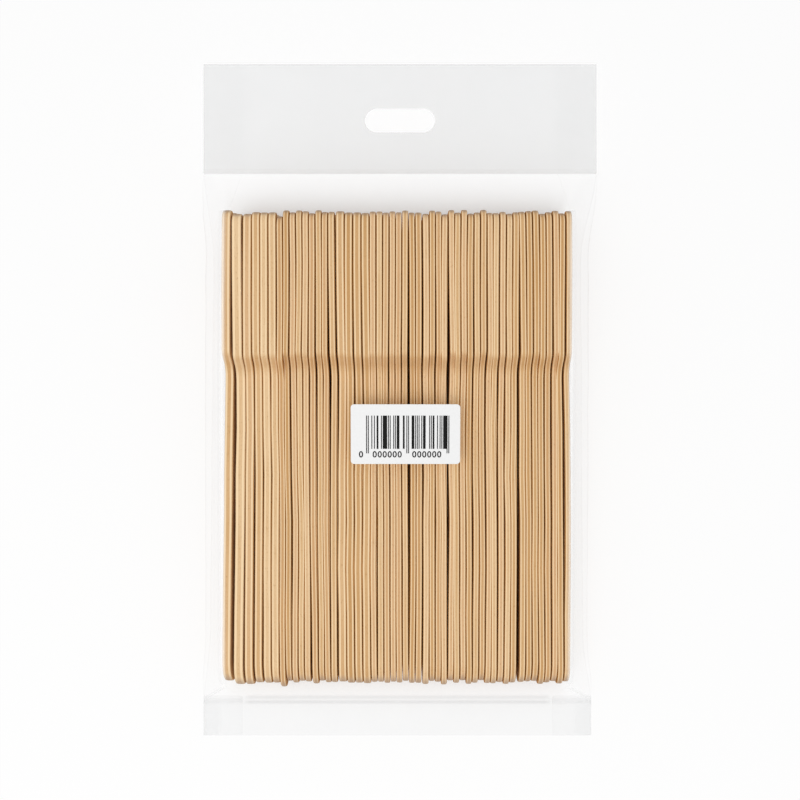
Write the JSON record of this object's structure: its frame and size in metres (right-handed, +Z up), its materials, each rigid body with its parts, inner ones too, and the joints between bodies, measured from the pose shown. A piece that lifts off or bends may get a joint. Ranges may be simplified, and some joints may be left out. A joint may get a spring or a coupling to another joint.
{
  "type": "wooden cutlery pack",
  "caption": "Row of flat birch forks stood on edge in a clear gusseted film bag with a frosted hanging header and a small white label.",
  "frame": {"origin": "middle of the footprint, on the surface that the pack lies on", "axes": "+Y from the handle ends towards the header, +X across the row of forks to the right as the picture shows it, +Z up, out of the pack's front"},
  "size_m": [0.1348, 0.2304, 0.032],
  "materials": {
    "birch": "bare birch veneer with cut edges and tumbled arrises",
    "clear_film": "clear, thin, glossy film",
    "frosted_film": "frosted, translucent, slightly stiff film",
    "label_paper": "white self-adhesive paper with black printed bars"
  },
  "bodies": {
    "root": {"fork_01": "birch", "fork_02": "birch", "fork_03": "birch", "fork_04": "birch", "fork_05": "birch", "fork_06": "birch", "fork_07": "birch", "fork_08": "birch", "fork_09": "birch", "fork_10": "birch", "fork_11": "birch", "fork_12": "birch", "fork_13": "birch", "fork_14": "birch", "fork_15": "birch", "fork_16": "birch", "fork_17": "birch", "fork_18": "birch", "fork_19": "birch", "fork_20": "birch", "fork_21": "birch", "fork_22": "birch", "fork_23": "birch", "fork_24": "birch", "fork_25": "birch", "fork_26": "birch", "fork_27": "birch", "fork_28": "birch", "fork_29": "birch", "fork_30": "birch", "fork_31": "birch", "fork_32": "birch", "fork_33": "birch", "fork_34": "birch", "fork_35": "birch", "fork_36": "birch", "fork_37": "birch", "fork_38": "birch", "fork_39": "birch", "fork_40": "birch", "fork_41": "birch", "fork_42": "birch", "fork_43": "birch", "fork_44": "birch", "fork_45": "birch", "fork_46": "birch", "fork_47": "birch", "fork_48": "birch", "fork_49": "birch", "fork_50": "birch", "bag_film": "clear_film", "header_strip": "frosted_film", "label": "label_paper"}
  },
  "joints": []
}
